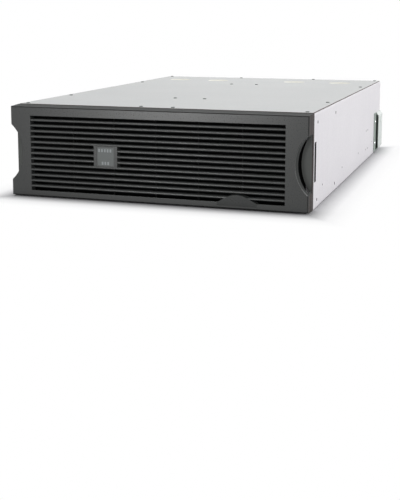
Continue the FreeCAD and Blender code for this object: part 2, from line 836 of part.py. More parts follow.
def plug_outline():
    # Scalloped grip, then a mating half that sits a little to one side
    inner = plug_half - mating_inset
    outer = -plug_half - mating_overhang
    front = [Vector(plug_half, plug_grip, 0), Vector(inner, plug_grip, 0),
             Vector(inner, plug_length - mating_chamfer, 0), Vector(inner - mating_chamfer, plug_length, 0),
             Vector(outer, plug_length, 0), Vector(outer, plug_grip, 0), Vector(-plug_half, plug_grip, 0)]
    rear = Part.LineSegment(Vector(-plug_half, 0, 0), Vector(plug_half, 0, 0)).toShape()
    edges = grip_side(1) + Part.makePolygon(front).Edges + grip_side(-1) + [rear]
    return Part.Face(Part.Wire(Part.__sortEdges__(edges)))


def plug_housing():
    body = plug_outline().extrude(Vector(0, 0, plug_height))
    rail = box((-plug_rail_half, plug_rail_half), (2.0, plug_grip), (plug_height, plug_height + plug_rail))
    body = joined([body, rail])
    middle = plug_height / 2
    tools = []
    tongues = []
    for pole_x in (-pole_offset, pole_offset):
        x = pole_x + plug_port_shift
        port_y = (plug_length - plug_port[1], plug_length + 1)
        tools.append(box(centred(x, plug_port[0]), port_y, centred(middle, plug_port[2])))
        tongue_y = (port_y[0] - 2, plug_length - 2)
        tongue_top = middle - plug_tongue_drop
        tongues.append(box(centred(x, plug_tongue[0]), tongue_y, (tongue_top - plug_tongue[1], tongue_top)))
        collar = rod(plug_collar, Vector(pole_x, -1, middle), Vector(pole_x, 4, middle))
        tools.append(collar.cut(rod(cable / 2, Vector(pole_x, -2, middle), Vector(pole_x, 5, middle))))
    for y in plug_holes:
        tools.append(rod(plug_hole, Vector(0, y, -1), Vector(0, y, plug_height + 3)))
        ring = []
        for side in range(6):
            angle = math.pi * side / 3
            ring.append(Vector(plug_nut * math.cos(angle), y + plug_nut * math.sin(angle),
                               plug_height - plug_nut_depth))
        tools.append(prism(ring, Vector(0, 0, plug_nut_depth + 3)))
    return laid(joined([body.cut(tools)] + tongues))


def plug_contacts():
    middle = plug_height / 2
    made = []
    for pole_x in (-pole_offset, pole_offset):
        blade_y = (plug_length - plug_port[1], plug_length - 5)
        low = middle - plug_tongue_drop
        made.append(box(centred(pole_x + plug_port_shift, plug_tongue[0] - 2), blade_y, (low, low + 2.6)))
    return laid(Part.makeCompound(made))


# Free cables from the grommets to the plug

def on_plug(pole, distance):
    # Point on one pole's axis, so far along it from the plug's cable end
    spot = Vector(pole * pole_offset, distance, plug_height / 2)
    turn = FreeCAD.Rotation(Vector(0, 0, 1), -plug_yaw)
    return turn.multVec(spot) + plug_rear


def cable_route(grommet_x, middle_points, pole, last_run):
    start = Vector(grommet_x, behind(overall_depth), grommet_z)
    bends = [Vector(*point) for point in middle_points]
    return [start] + bends + [on_plug(pole, -last_run), on_plug(pole, 0)]


def tube(name, points, diameter):
    # Straight runs joined by tangent arcs that are as large as the runs allow
    edges = []
    start = points[0]
    length = 0.0
    radii = []
    for before, corner, after in zip(points, points[1:], points[2:]):
        arriving = corner - before
        leaving = after - corner
        turn = arriving.getAngle(leaving)
        reach = 0.45 * min(arriving.Length, leaving.Length)
        radius = reach / math.tan(turn / 2)
        first = corner - arriving.normalize() * reach
        last = corner + leaving.normalize() * reach
        bisector = (last - corner) + (first - corner)
        bisector.normalize()
        inner = corner + bisector * (radius / math.cos(turn / 2) - radius)
        edges.append(Part.LineSegment(start, first).toShape())
        edges.append(Part.Arc(first, inner, last).toShape())
        length += (first - start).Length + radius * turn
        radii.append(round(radius, 1))
        start = last
    edges.append(Part.LineSegment(start, points[-1]).toShape())
    length += (points[-1] - start).Length
    ring = Part.Circle(points[0], points[1] - points[0], diameter / 2).toShape()
    shape = Part.Wire(edges).makePipeShell([Part.Wire(ring)], True, False)
    expected = math.pi * diameter ** 2 / 4 * length
    share = round(shape.Volume / expected, 4)
    print(name, "length", round(length, 1), "radii", radii, "volume share", share)
    return shape


red_route = [(12.9, 368.0, 113.8), (-2.0, 400.0, 91.0), (-5.0, 412.0, 40.0)]
red_last_run = 42.0
black_route = [(-26.1, 369.0, 113.8), (-38.0, 404.0, 89.0), (-28.0, 425.0, 33.0)]
black_last_run = 34.0


def build():
    os.makedirs("parts", exist_ok=True)
    save("base_pan", base_pan())
    save("top_cover", top_cover())
    save("cover_screws", cover_screws())
    save("rear_panel", rear_panel())
    save("front_bezel", front_bezel())
    save("bezel_window_plate", bezel_window_plate())
    save("battery_door", battery_door())
    save("door_screws", door_screws())
    save("wiring_channel", wiring_channel())
    for side in ("left", "right"):
        save(side + "_stop_bar", stop_bar(side))
        save(side + "_battery_tray", battery_tray(side))
        save(side + "_battery_links", battery_links(side))
        save(side + "_tray_connector", tray_connector(side))
        save(side + "_harness_connector", harness_connector(side))
        for column in range(columns):
            for row in range(rows):
                number = column * rows + row + 1
                save(side + "_battery_" + str(number), battery_block(side, column, row))
    save("red_harness", harness(red_x, red_lead_x, lead_low_z, behind(140), 1))
    save("black_harness", harness(black_x, black_lead_x, lead_high_z, behind(165), -1))
    save("rear_receptacle", rear_receptacle())
    save("receptacle_contacts", receptacle_contacts())
    save("receptacle_clamp", receptacle_clamp())
    save("clamp_screws", clamp_screws())
    save("clinch_nuts", clinch_nuts())
    save("red_cable_grommet", grommet(red_x))
    save("black_cable_grommet", grommet(black_x))
    right_bracket = rear_bracket()
    save("right_rear_bracket", right_bracket)
    save("left_rear_bracket", mirrored(right_bracket))
    save("bracket_rivets", bracket_rivets())
    save("plug_housing", plug_housing())
    save("plug_contacts", plug_contacts())
    red = cable_route(red_x, red_route, 1, red_last_run)
    black = cable_route(black_x, black_route, -1, black_last_run)
    save("red_cable", tube("red_cable", red, cable))
    save("black_cable", tube("black_cable", black, cable))


build()
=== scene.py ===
import bpy
import math
import numpy as np
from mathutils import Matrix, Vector


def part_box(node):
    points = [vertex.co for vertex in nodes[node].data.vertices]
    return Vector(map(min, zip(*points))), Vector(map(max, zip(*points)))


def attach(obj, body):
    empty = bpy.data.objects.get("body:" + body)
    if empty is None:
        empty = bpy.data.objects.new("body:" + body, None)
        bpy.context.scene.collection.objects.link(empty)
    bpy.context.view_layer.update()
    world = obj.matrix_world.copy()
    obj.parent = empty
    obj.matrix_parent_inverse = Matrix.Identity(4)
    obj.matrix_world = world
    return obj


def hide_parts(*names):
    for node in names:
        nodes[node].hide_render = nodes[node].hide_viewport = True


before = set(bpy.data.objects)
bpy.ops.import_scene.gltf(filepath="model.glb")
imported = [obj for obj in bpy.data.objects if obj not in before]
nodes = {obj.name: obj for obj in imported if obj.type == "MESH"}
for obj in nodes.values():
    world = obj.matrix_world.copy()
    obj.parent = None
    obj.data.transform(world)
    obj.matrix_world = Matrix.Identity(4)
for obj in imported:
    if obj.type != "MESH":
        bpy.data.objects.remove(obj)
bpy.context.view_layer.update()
scene = bpy.context.scene
scene.view_settings.view_transform = "Standard"
print("frame loaded:", len(nodes), "nodes")


# sRGB hex to linear colour with alpha 1
def hexColour(text):
    srgb = np.array([int(text[i:i + 2], 16) for i in (1, 3, 5)]) / 255
    linear = np.where(srgb <= 0.04045, srgb / 12.92, ((srgb + 0.055) / 1.055) ** 2.4)
    return (*linear.tolist(), 1.0)


# adds one node, sets its properties and sockets, and links what comes from another node
def addNode(tree, kind, inputs=None, **settings):
    node = tree.nodes.new(kind)
    for key, value in settings.items():
        setattr(node, key, value)
    for key, value in (inputs or {}).items():
        if isinstance(value, bpy.types.NodeSocket):
            tree.links.new(value, node.inputs[key])
        else:
            node.inputs[key].default_value = value
    return node


def newMaterial(name):
    made = bpy.data.materials.new(name)
    made.use_nodes = True
    made.node_tree.nodes.clear()
    return made, made.node_tree


def finishMaterial(tree, shader):
    addNode(tree, "ShaderNodeOutputMaterial", {"Surface": shader.outputs[0]})


# 1 where every coordinate given lies in its span, and 0 elsewhere
def within(tree, place, **spans):
    parts = addNode(tree, "ShaderNodeSeparateXYZ", {"Vector": place})
    inside = 1.0
    for axis, (low, high) in spans.items():
        near = addNode(tree, "ShaderNodeMath", {0: parts.outputs[axis.upper()], 1: (low + high) / 2,
                                                2: (high - low) / 2}, operation="COMPARE")
        both = addNode(tree, "ShaderNodeMath", {0: near.outputs[0], 1: inside}, operation="MULTIPLY")
        inside = both.outputs[0]
    return inside


# a span given from where it starts
def spanFrom(start, reach):
    return start + reach[0], start + reach[1]


# a span drawn in at both ends
def drawnIn(low, high, inset):
    return low + inset, high - inset


# 1 on camera, glossy and transmission rays, which show the background
def seenRays(tree):
    path = addNode(tree, "ShaderNodeLightPath").outputs
    seen = path["Is Camera Ray"]
    for kind in ("Is Glossy Ray", "Is Transmission Ray"):
        seen = addNode(tree, "ShaderNodeMath", {0: seen, 1: path[kind]}, operation="MAXIMUM").outputs[0]
    return seen


# camera: place and turn fitted to the case edges in the photograph
cameraSet = {"place": (0.4634, -1.530, 0.259), "yaw": 18.233, "pitch": 7.835, "focalPixels": 959.7,
             "imageHeight": 500, "shiftPixels": 105, "sensor": 36, "farthest": 100}


def makeCamera(s):
    lens = bpy.data.cameras.new("camera")
    lens.sensor_width = s["sensor"]
    lens.lens = s["focalPixels"] / s["imageHeight"] * s["sensor"]
    lens.shift_y = -s["shiftPixels"] / s["imageHeight"]
    lens.clip_end = s["farthest"]
    eye = bpy.data.objects.new("camera", lens)
    scene.collection.objects.link(eye)
    eye.location = s["place"]
    eye.rotation_euler = (math.radians(90 - s["pitch"]), 0, math.radians(s["yaw"]))
    scene.camera = eye


makeCamera(cameraSet)


# lights: a soft panel overhead and to the left, a low lamp for the bright case side, a small low one in
# front for the bezel's sheen, and fill lamps round the rest
lightSet = {
    "overhead": {"place": (-0.9, 0.1, 2.7), "aim": (0.0, 0.0, 0.0), "size": 1.6, "power": 13.5},
    "rightSide": {"place": (2.8, 0.2, 0.56), "aim": (0.2, 0.0, 0.06), "size": 1.0, "power": 34},
    "leftSide": {"place": (-2.8, -0.3, 1.2), "aim": (-0.2, 0.0, 0.06), "size": 2.2, "power": 10},
    "frontFill": {"place": (1.1, -2.1, 1.1), "aim": (0.0, -0.3, 0.06), "size": 0.9, "power": 12},
    "frontGlow": {"place": (-0.70, -2.4, 0.16), "aim": (0.0, -0.33, 0.1), "size": 0.3, "power": 10},
    "rearFill": {"place": (0.3, 2.5, 0.7), "aim": (0.0, 0.35, 0.06), "size": 3.0, "power": 26},
    "rearKey": {"place": (-0.7, 1.9, 2.4), "aim": (0.0, 0.35, 0.06), "size": 0.8, "power": 10},
}


def makeLights(s):
    for name, one in s.items():
        lamp = bpy.data.lights.new(name, "AREA")
        lamp.size = one["size"]
        lamp.energy = one["power"]
        holder = bpy.data.objects.new(name, lamp)
        scene.collection.objects.link(holder)
        holder.location = one["place"]
        aim = Vector(one["aim"]) - Vector(one["place"])
        holder.rotation_euler = aim.to_track_quat("-Z", "Y").to_euler()


makeLights(lightSet)


# world: plain white to the eye and in reflections. Its light on surfaces grows from horizon to zenith.
worldSet = {"seen": 1.0, "horizon": 0.16, "zenith": 0.5}


def makeWorld(s):
    world = bpy.data.worlds.new("studio")
    world.use_nodes = True
    scene.world = world
    tree = world.node_tree
    tree.nodes.clear()
    seen = seenRays(tree)
    around = addNode(tree, "ShaderNodeTexCoord").outputs["Generated"]
    way = addNode(tree, "ShaderNodeSeparateXYZ", {"Vector": around})
    light = addNode(tree, "ShaderNodeMapRange", {"Value": way.outputs["Z"], "To Min": s["horizon"],
                                                 "To Max": s["zenith"]})
    strength = addNode(tree, "ShaderNodeMapRange", {"Value": seen, "To Min": light.outputs["Result"],
                                                    "To Max": s["seen"]})
    back = addNode(tree, "ShaderNodeBackground", {"Color": (1, 1, 1, 1),
                                                  "Strength": strength.outputs["Result"]})
    addNode(tree, "ShaderNodeOutputWorld", {"Surface": back.outputs[0]})


makeWorld(worldSet)


# floor: a pale grey sweep. With distance from the case and the plug it is lifted and runs out into the
# white background, so its grey round them is partly painted shadow and sets how far the shadow reaches.
floorSet = {"half": 14.0, "drop": 0.0004, "colour": "#C2C2C4", "outline": (0.216, 0.330), "plugReach": 0.03,
            "liftNear": 0.0, "liftFar": 0.45, "liftReach": 0.03, "fadeFrom": 0.0, "fadeTo": 0.065}


def makeFloor(s):
    corner = np.array([[-1, -1], [1, -1], [1, 1], [-1, 1]]) * s["half"]
    points = np.column_stack([corner, np.full(4, -s["drop"])])
    mesh = bpy.data.meshes.new("floor")
    mesh.from_pydata(points.tolist(), [], [(0, 1, 2, 3)])
    floor = bpy.data.objects.new("floor", mesh)
    scene.collection.objects.link(floor)
    paper, tree = newMaterial("matt pale paper sweep")
    seen = seenRays(tree)
    place = addNode(tree, "ShaderNodeTexCoord").outputs["Object"]
    # distance outside the case's outline = the larger of the two overhangs
    beside = addNode(tree, "ShaderNodeVectorMath", {0: place}, operation="ABSOLUTE")
    beside = addNode(tree, "ShaderNodeVectorMath", {0: beside.outputs[0], 1: (*s["outline"], 0.0)},
                     operation="SUBTRACT")
    beside = addNode(tree, "ShaderNodeSeparateXYZ", {"Vector": beside.outputs[0]}).outputs
    toCase = addNode(tree, "ShaderNodeMath", {0: beside["X"], 1: beside["Y"]}, operation="MAXIMUM")
    low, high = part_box("plug_housing")
    middle = ((low.x + high.x) / 2, (low.y + high.y) / 2, -s["drop"])
    toPlug = addNode(tree, "ShaderNodeVectorMath", {0: place, 1: middle}, operation="DISTANCE")
    toPlug = addNode(tree, "ShaderNodeMath", {0: toPlug.outputs["Value"], 1: s["plugReach"]},
                     operation="SUBTRACT")
    away = addNode(tree, "ShaderNodeMath", {0: toCase.outputs[0], 1: toPlug.outputs[0]},
                   operation="MINIMUM").outputs[0]
    fade = addNode(tree, "ShaderNodeMapRange", {"Value": away, "From Min": s["fadeFrom"],
                                                "From Max": s["fadeTo"]}, interpolation_type="SMOOTHSTEP")
    glow = addNode(tree, "ShaderNodeMapRange", {"Value": away, "From Max": s["liftReach"],
                                                "To Min": s["liftNear"], "To Max": s["liftFar"]})
    lift = addNode(tree, "ShaderNodeMath", {0: seen, 1: glow.outputs["Result"]}, operation="MULTIPLY")
    near = addNode(tree, "ShaderNodeAddShader", {
        0: addNode(tree, "ShaderNodeBsdfDiffuse", {"Color": hexColour(s["colour"])}).outputs[0],
        1: addNode(tree, "ShaderNodeEmission", {"Strength": lift.outputs[0]}).outputs[0]})
    far = addNode(tree, "ShaderNodeEmission", {"Strength": 1.0})
    share = addNode(tree, "ShaderNodeMath", {0: fade.outputs["Result"], 1: seen}, operation="MULTIPLY")
    finishMaterial(tree, addNode(tree, "ShaderNodeMixShader", {0: share.outputs[0], 1: near.outputs[0],
                                                               2: far.outputs[0]}))
    mesh.materials.append(paper)


makeFloor(floorSet)
print("camera, lights and floor placed")


# tones and gloss of the bezel by place. Depths are from its front and insets from its outline, in metres.
bezelSet = {
    "shades": ("#242625", "#2C2E2D"), "grain": 0.0011, "cloud": 0.09, "edge": 0.0004,
    "roughness": (0.82, 0.91), "smooth": {"by": 0.58, "depth": (-0.001, 0.0032)},
    # painted highlight on the bars, painted shade on the back and bevel, painted light on the plates
    "bars": {"shades": ("#363837", "#404241"), "half": 0.1845, "depth": (0.0011, 0.0115),
             "z": (0.0097, 0.116)},
    "back": {"colour": "#0C0C0C", "half": 0.186, "depth": (0.0115, 0.030), "z": (0.006, 0.122)},
    "bevel": {"colour": "#0C0C0C", "depth": (0.0009, 0.00245), "insetX": 0.00245, "insetZ": 0.00225},
    "plates": {"colour": "#5A5C5A", "half": 0.188, "depth": (0.0217, 0.0252), "z": (0.018, 0.109)},
    "ends": {"colour": "#302A28", "inset": 0.0011},
}


# ABS with a fine spark-eroded grain: dark charcoal, smooth on its front, dull elsewhere and matt at the
# back of the grille, its edges rounded enough to catch light. Tints and gloss by place are matched to the
# photograph.
# Its paler bars and scoop plates are painted light, and its near black back and bevel are painted shade.
def charcoalPlastic(s):
    made, tree = newMaterial("charcoal moulded ABS")
    low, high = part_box("front_bezel")
    place = addNode(tree, "ShaderNodeTexCoord").outputs["Object"]
    grain = addNode(tree, "ShaderNodeTexNoise", {"Vector": place, "Scale": 1 / s["grain"], "Detail": 3.0})
    cloud = addNode(tree, "ShaderNodeTexNoise", {"Vector": place, "Scale": 1 / s["cloud"], "Detail": 2.0})
    frameTint, barHighlightTint = (addNode(tree, "ShaderNodeMix", {
        "Factor": cloud.outputs["Fac"], "A": hexColour(dark), "B": hexColour(pale)},
        data_type="RGBA").outputs["Result"] for dark, pale in (s["shades"], s["bars"]["shades"]))
    depth = {name: spanFrom(low.y, s[name]["depth"])
             for name in ("bars", "back", "bevel", "plates", "smooth")}
    # the bars are a little paler than the frame, a painted highlight, and the back of the grille is near
    # black, painted shade
    bars, back = (within(tree, place, x=(-s[name]["half"], s[name]["half"]), y=depth[name], z=s[name]["z"])
                  for name in ("bars", "back"))
    # the narrow bevel round the front face is painted near black, as painted shade, and reads as a dark
    # line
    faceX = drawnIn(low.x, high.x, s["bevel"]["insetX"])
    faceZ = drawnIn(low.z, high.z, s["bevel"]["insetZ"])
    bevel = addNode(tree, "ShaderNodeMath", {0: within(tree, place, y=depth["bevel"]),
                                             1: within(tree, place, x=faceX, z=faceZ)},
                    operation="SUBTRACT", use_clamp=True).outputs[0]
    # the plates in the finger scoops are paler, as painted light
    half = s["plates"]["half"]
    plates = addNode(tree, "ShaderNodeMath", {0: within(tree, place, y=depth["plates"], z=s["plates"]["z"]),
                                              1: within(tree, place, x=(-half, half))},
                     operation="SUBTRACT", use_clamp=True).outputs[0]
    tint = frameTint
    for mask, other in ((bars, barHighlightTint), (back, hexColour(s["back"]["colour"])),
                        (bevel, hexColour(s["bevel"]["colour"])),
                        (plates, hexColour(s["plates"]["colour"]))):
        tint = addNode(tree, "ShaderNodeMix", {"Factor": mask, "A": tint, "B": other},
                       data_type="RGBA").outputs["Result"]
    # end faces take a warmer grey than the front
    inner = within(tree, place, x=drawnIn(low.x, high.x, s["ends"]["inset"]))
    tint = addNode(tree, "ShaderNodeMix", {"Factor": inner, "A": hexColour(s["ends"]["colour"]), "B": tint},
                   data_type="RGBA").outputs["Result"]
    rough = addNode(tree, "ShaderNodeMapRange", {"Value": grain.outputs["Fac"], "To Min": s["roughness"][0],
                                                 "To Max": s["roughness"][1]})
    # the front face and the noses of the bars are smooth
    front = within(tree, place, x=faceX, y=depth["smooth"], z=faceZ)
    rough = addNode(tree, "ShaderNodeMath", {0: front, 1: -s["smooth"]["by"], 2: rough.outputs["Result"]},
                    operation="MULTIPLY_ADD")
    rough = addNode(tree, "ShaderNodeMath", {0: rough.outputs[0], 1: back}, operation="MAXIMUM")
    soft = addNode(tree, "ShaderNodeBevel", {"Radius": s["edge"]}, samples=6)
    bump = addNode(tree, "ShaderNodeBump", {"Height": grain.outputs["Fac"], "Strength": 0.12,
                                            "Distance": 0.0002, "Normal": soft.outputs[0]})
    finishMaterial(tree, addNode(tree, "ShaderNodeBsdfPrincipled", {
        "Base Color": tint, "Roughness": rough.outputs[0], "IOR": 1.5, "Normal": bump.outputs[0]}))
    return made


# sizes in metres, and how much crystals, clouds and rolling streaks share in a sheet's tone
sheetSet = {"crystal": 0.002, "cloud": 0.12, "shares": {"crystal": 0.3, "cloud": 0.35, "streak": 0.45},
            "edge": 0.0004, "roughSpread": 0.06, "turned": 0.5}


# Zinc-coated sheet steel: pale dull metal, a cloudy fine crystal pattern and faint rolling streaks along
# one axis. The crystals are under 1 mm on the real sheet and are drawn at 2 mm so that they show.
def zincSheet(name, pale, dark, streak, cutEdgeAndShade=None, metallic=0.5, roughness=0.54, shine=0.35, paintedPatches=()):
    s = sheetSet
    made, tree = newMaterial(name)
    space = addNode(tree, "ShaderNodeTexCoord").outputs
    place = space["Object"]
    crystal = addNode(tree, "ShaderNodeTexVoronoi", {"Vector": place, "Scale": 1 / s["crystal"]},
                      feature="F1")
    cloud = addNode(tree, "ShaderNodeTexNoise", {"Vector": place, "Scale": 1 / s["cloud"], "Detail": 4.0})
    stretch = addNode(tree, "ShaderNodeMapping", {"Vector": place, "Scale": streak})
    rolling = addNode(tree, "ShaderNodeTexNoise", {"Vector": stretch.outputs[0], "Scale": 1.0,
                                                   "Detail": 3.0})
    spread = addNode(tree, "ShaderNodeMath", {0: crystal.outputs["Color"], 1: s["shares"]["crystal"]},
                     operation="MULTIPLY")
    spread = addNode(tree, "ShaderNodeMath", {0: cloud.outputs["Fac"], 1: s["shares"]["cloud"],
                                              2: spread.outputs[0]}, operation="MULTIPLY_ADD")
    spread = addNode(tree, "ShaderNodeMath", {0: rolling.outputs["Fac"], 1: s["shares"]["streak"],
                                              2: spread.outputs[0]},
                     operation="MULTIPLY_ADD", use_clamp=True)
    colour = addNode(tree, "ShaderNodeMix", {"Factor": spread.outputs[0], "A": hexColour(dark),
                                             "B": hexColour(pale)}, data_type="RGBA").outputs["Result"]
    # patches in another tone, matched to the photograph: painted shade where darker, painted highlight
    # where paler
    for paintedPatch in paintedPatches:
        spot = within(tree, place, **paintedPatch["level"])
        colour = addNode(tree, "ShaderNodeMix", {"Factor": spot, "A": colour,
                                                 "B": hexColour(paintedPatch["colour"])},
                         data_type="RGBA").outputs["Result"]
    if cutEdgeAndShade:
        # rims and hole walls, which turn away from the sheet's own axis, read dark: a brown cut edge on the
        # cover, and near black painted shade on the case
        facing = addNode(tree, "ShaderNodeSeparateXYZ", {"Vector": space["Normal"]})
        turned = addNode(tree, "ShaderNodeMath", {0: facing.outputs[cutEdgeAndShade["axis"]], 1: 0.0,
                                                  2: s["turned"]}, operation="COMPARE")
        level = within(tree, place, **cutEdgeAndShade["level"])
        skin = within(tree, place, **cutEdgeAndShade["clear"]) if "clear" in cutEdgeAndShade else 0.0
        level = addNode(tree, "ShaderNodeMath", {0: level, 1: skin}, operation="SUBTRACT")
        bare = addNode(tree, "ShaderNodeMath", {0: turned.outputs[0], 1: level.outputs[0]},
                       operation="MULTIPLY", use_clamp=True)
        colour = addNode(tree, "ShaderNodeMix", {"Factor": bare.outputs[0], "A": colour,
                                                 "B": hexColour(cutEdgeAndShade["colour"])},
                         data_type="RGBA").outputs["Result"]
    rough = addNode(tree, "ShaderNodeMapRange", {"Value": spread.outputs[0],
                                                 "To Min": roughness + s["roughSpread"],
                                                 "To Max": roughness - s["roughSpread"]})
    soft = addNode(tree, "ShaderNodeBevel", {"Radius": s["edge"]}, samples=4)
    bump = addNode(tree, "ShaderNodeBump", {"Height": spread.outputs[0], "Strength": 0.06,
                                            "Distance": 0.0003, "Normal": soft.outputs[0]})
    finishMaterial(tree, addNode(tree, "ShaderNodeBsdfPrincipled", {
        "Base Color": colour, "Metallic": metallic, "Roughness": rough.outputs["Result"],
        "Specular IOR Level": shine, "Normal": bump.outputs[0]}))
    return made


# Plain moulded plastic, and paint: one colour with slight clouds, a fine grain and softened edges
def mouldedPlastic(name, pale, dark, roughness, edge=0.0005, grainSize=0.0009, flowSize=0.03, shine=0.4,
                   roughSpread=0.06):
    made, tree = newMaterial(name)
    place = addNode(tree, "ShaderNodeTexCoord").outputs["Object"]
    grain = addNode(tree, "ShaderNodeTexNoise", {"Vector": place, "Scale": 1 / grainSize, "Detail": 2.0})
    flow = addNode(tree, "ShaderNodeTexNoise", {"Vector": place, "Scale": 1 / flowSize, "Detail": 3.0})
    tint = addNode(tree, "ShaderNodeMix", {"Factor": flow.outputs["Fac"], "A": hexColour(dark),
                                           "B": hexColour(pale)}, data_type="RGBA")
    rough = addNode(tree, "ShaderNodeMapRange", {"Value": grain.outputs["Fac"],
                                                 "To Min": roughness - roughSpread,
                                                 "To Max": roughness + roughSpread})
    soft = addNode(tree, "ShaderNodeBevel", {"Radius": edge}, samples=6)
    bump = addNode(tree, "ShaderNodeBump", {"Height": grain.outputs["Fac"], "Strength": 0.08,
                                            "Distance": 0.0002, "Normal": soft.outputs[0]})
    finishMaterial(tree, addNode(tree, "ShaderNodeBsdfPrincipled", {
        "Base Color": tint.outputs["Result"], "Roughness": rough.outputs["Result"], "IOR": 1.5,
        "Specular IOR Level": shine, "Normal": bump.outputs[0]}))
    return made


windowSet = {"shades": ("#4D5251", "#575C5B"), "rimColour": "#434746", "rim": 0.0012, "grain": 0.0012}


# Smoked plate: smooth grey with a darker moulded rim
def windowPlate(s):
    made, tree = newMaterial("smoked grey plate")
    low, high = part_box("bezel_window_plate")
    place = addNode(tree, "ShaderNodeTexCoord").outputs["Object"]
    grain = addNode(tree, "ShaderNodeTexNoise", {"Vector": place, "Scale": 1 / s["grain"], "Detail": 2.0})
    inner = within(tree, place, x=drawnIn(low.x, high.x, s["rim"]), z=drawnIn(low.z, high.z, s["rim"]))
    face = addNode(tree, "ShaderNodeMix", {"Factor": grain.outputs["Fac"], "A": hexColour(s["shades"][0]),
                                           "B": hexColour(s["shades"][1])}, data_type="RGBA")
    tint = addNode(tree, "ShaderNodeMix", {"Factor": inner, "A": hexColour(s["rimColour"]),
                                           "B": face.outputs["Result"]}, data_type="RGBA")
    bump = addNode(tree, "ShaderNodeBump", {"Height": grain.outputs["Fac"], "Strength": 0.04,
                                            "Distance": 0.0002})
    finishMaterial(tree, addNode(tree, "ShaderNodeBsdfPrincipled", {
        "Base Color": tint.outputs["Result"], "Roughness": 0.36, "IOR": 1.5, "Normal": bump.outputs[0]}))
    return made


# Plated steel and contact metal: bright to dull by its roughness, with a fine uneven polish
def platedMetal(name, colour, shade, roughness, metallic=1.0, polishSize=0.0015, duller=0.08, brighter=0.05,
                edge=0.0003):
    made, tree = newMaterial(name)
    place = addNode(tree, "ShaderNodeTexCoord").outputs["Object"]
    polish = addNode(tree, "ShaderNodeTexNoise", {"Vector": place, "Scale": 1 / polishSize, "Detail": 4.0})
    tint = addNode(tree, "ShaderNodeMix", {"Factor": polish.outputs["Fac"], "A": hexColour(shade),
                                           "B": hexColour(colour)}, data_type="RGBA")
    rough = addNode(tree, "ShaderNodeMapRange", {"Value": polish.outputs["Fac"],
                                                 "To Min": roughness + duller,
                                                 "To Max": roughness - brighter})
    soft = addNode(tree, "ShaderNodeBevel", {"Radius": edge}, samples=4)
    finishMaterial(tree, addNode(tree, "ShaderNodeBsdfPrincipled", {
        "Base Color": tint.outputs["Result"], "Metallic": metallic, "Roughness": rough.outputs["Result"],
        "Normal": soft.outputs[0]}))
    return made


# heights of the outlet's light blue rim and tongues are from its split, and depths from its mouth
outletSet = {"navy": "#12123A", "pale": "#6A9CE0", "split": 0.0888, "rimDepth": (-0.0012, 0.001),
             "rimRise": (0.0, 0.03), "tongueDepth": (-0.0125, -0.0009), "tongueRise": (-0.0093, -0.0052),
             "grain": 0.001}


# Moulded light blue nylon: light blue on its upper rim and the tongues in its ports, and navy as painted
# shade inside its ports and below its rim
def outletPlastic(s):
    made, tree = newMaterial("navy and light blue moulded nylon")
    mouth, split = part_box("rear_receptacle")[1].y, s["split"]
    place = addNode(tree, "ShaderNodeTexCoord").outputs["Object"]
    grain = addNode(tree, "ShaderNodeTexNoise", {"Vector": place, "Scale": 1 / s["grain"]})
    rim = within(tree, place, y=spanFrom(mouth, s["rimDepth"]), z=spanFrom(split, s["rimRise"]))
    tongue = within(tree, place, y=spanFrom(mouth, s["tongueDepth"]), z=spanFrom(split, s["tongueRise"]))
    pale = addNode(tree, "ShaderNodeMath", {0: rim, 1: tongue}, operation="MAXIMUM")
    shade = addNode(tree, "ShaderNodeMapRange", {"Value": grain.outputs["Fac"], "To Min": 0.8,
                                                 "To Max": 1.1})
    colour = addNode(tree, "ShaderNodeMix", {"Factor": pale.outputs[0], "A": hexColour(s["navy"]),
                                             "B": hexColour(s["pale"])}, data_type="RGBA")
    colour = addNode(tree, "ShaderNodeVectorMath", {0: colour.outputs["Result"],
                                                    "Scale": shade.outputs["Result"]}, operation="SCALE")
    bump = addNode(tree, "ShaderNodeBump", {"Height": grain.outputs["Fac"], "Strength": 0.06,
                                            "Distance": 0.0002})
    finishMaterial(tree, addNode(tree, "ShaderNodeBsdfPrincipled", {
        "Base Color": colour.outputs[0], "Roughness": 0.4, "IOR": 1.53, "Specular IOR Level": 0.3,
        "Normal": bump.outputs[0]}))
    return made


# Cable insulation: smooth extruded PVC with a wet-looking line of gloss and a faint drawn ripple
def cableInsulation(name, colour, shade, rippleSize=0.006):
    made, tree = newMaterial(name)
    place = addNode(tree, "ShaderNodeTexCoord").outputs["Object"]
    ripple = addNode(tree, "ShaderNodeTexNoise", {"Vector": place, "Scale": 1 / rippleSize, "Detail": 2.0})
    tint = addNode(tree, "ShaderNodeMix", {"Factor": ripple.outputs["Fac"], "A": hexColour(shade),
                                           "B": hexColour(colour)}, data_type="RGBA")
    bump = addNode(tree, "ShaderNodeBump", {"Height": ripple.outputs["Fac"], "Strength": 0.05,
                                            "Distance": 0.0004})
    finishMaterial(tree, addNode(tree, "ShaderNodeBsdfPrincipled", {
        "Base Color": tint.outputs["Result"], "Roughness": 0.24, "IOR": 1.5, "Specular IOR Level": 0.35,
        "Normal": bump.outputs[0]}))
    return made


# case: dark cut edges and hole walls, near black as painted shade, and near black painted shade under
# the standing-off brackets, as the photograph shows that gap
caseLook = {"pale": "#DEDCDF", "dark": "#CBC9CD", "streak": (900, 900, 12), "metallic": 0.3,
            "roughness": 0.62, "shine": 0.2,
            "cutEdgeAndShade": {"axis": "X", "colour": "#2E2A28", "level": {"z": (0.003, 0.125)},
                        "clear": {"x": (-0.2149, 0.2149)}},
            "paintedPatches": [{"colour": "#2A2E2C", "level": {"y": (0.2772, 0.3262), "z": (0.0035, 0.0725)}}]}
